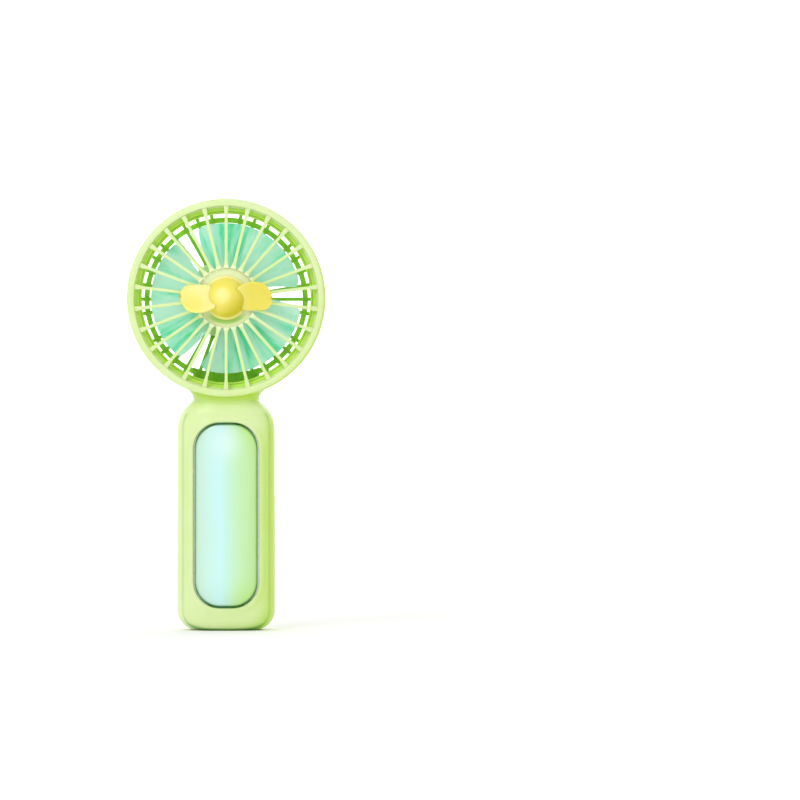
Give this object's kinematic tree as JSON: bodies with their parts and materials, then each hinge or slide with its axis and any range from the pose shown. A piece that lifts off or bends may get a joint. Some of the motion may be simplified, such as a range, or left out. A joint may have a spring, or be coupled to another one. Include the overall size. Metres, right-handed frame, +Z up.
{
  "type": "handheld electric fan",
  "caption": "Pocket-size rechargeable hand fan: round grille head on a rounded handle, impeller behind a ribbed guard, small wind-driven nose propeller, rear push button.",
  "frame": {"origin": "middle of the flat base", "axes": "+Z up along the handle, the front grille faces -Y, +X to the right seen from the front"},
  "size_m": [0.092, 0.0488, 0.2],
  "materials": {
    "lime_shell": "satin moulded plastic",
    "black_plastic": "matt",
    "white_plastic": "matt",
    "circuit_board": "solder mask",
    "steel": "plated",
    "ferrite": "sintered",
    "copper": "enamelled copper",
    "bronze": "sintered bronze",
    "core_steel": "laminated",
    "mint_blade": "glossy translucent plastic",
    "butter_blade": "satin plastic",
    "mint_panel": "glossy translucent plastic",
    "light_chip": "clear resin",
    "foam": "open-cell foam",
    "cell_wrap": "shrink wrap",
    "red_wire": "insulated wire",
    "black_wire": "insulated wire",
    "white_wire": "insulated wire"
  },
  "bodies": {
    "root": {"front_shell": "lime_shell", "front_grille": "lime_shell", "rear_shell": "lime_shell", "rear_cover": "lime_shell", "switch_body": "black_plastic", "switch_board": "circuit_board", "switch_screws": "steel", "indicator_light": "white_plastic", "motor_can": "steel", "motor_end_cap": "white_plastic", "motor_magnets": "ferrite", "motor_brushes": "copper", "motor_bushes": "bronze", "motor_screws": "steel", "light_panel": "mint_panel", "light_board": "white_plastic", "light_chips": "light_chip", "foam_pad": "foam", "battery_cell": "cell_wrap", "battery_tabs": "steel", "main_board": "circuit_board", "board_components": "black_plastic", "board_screws": "steel", "charging_socket": "steel", "motor_leads": "red_wire", "battery_leads": "black_wire", "light_leads": "white_wire"},
    "rotor": {"motor_shaft": "steel", "armature_core": "core_steel", "armature_windings": "copper", "commutator": "copper", "impeller": "mint_blade"},
    "propeller": {"propeller": "butter_blade", "propeller_axle": "steel", "axle_clip": "steel"},
    "button": {"power_button": "lime_shell"},
    "plunger": {"switch_plunger": "white_plastic"}
  },
  "joints": [
    {"name": "impeller_spin", "type": "hinge", "parent": "root", "child": "rotor", "pos_m": [0, 0, 0.154], "axis": [0, 1, 0], "continuous": true},
    {"name": "propeller_spin", "type": "hinge", "parent": "root", "child": "propeller", "pos_m": [0, 0, 0.154], "axis": [0, 1, 0], "continuous": true},
    {"name": "button_press", "type": "slide", "parent": "root", "child": "button", "axis": [0, -1, 0], "range_m": [0, 0.0005], "stiffness_N_per_m": 400},
    {"name": "plunger_press", "type": "slide", "parent": "root", "child": "plunger", "axis": [0, -1, 0], "range_m": [0, 0.0005]}
  ],
  "couplings": [
    {"joint": "plunger_press", "follows": "button_press", "ratio": 1}
  ]
}
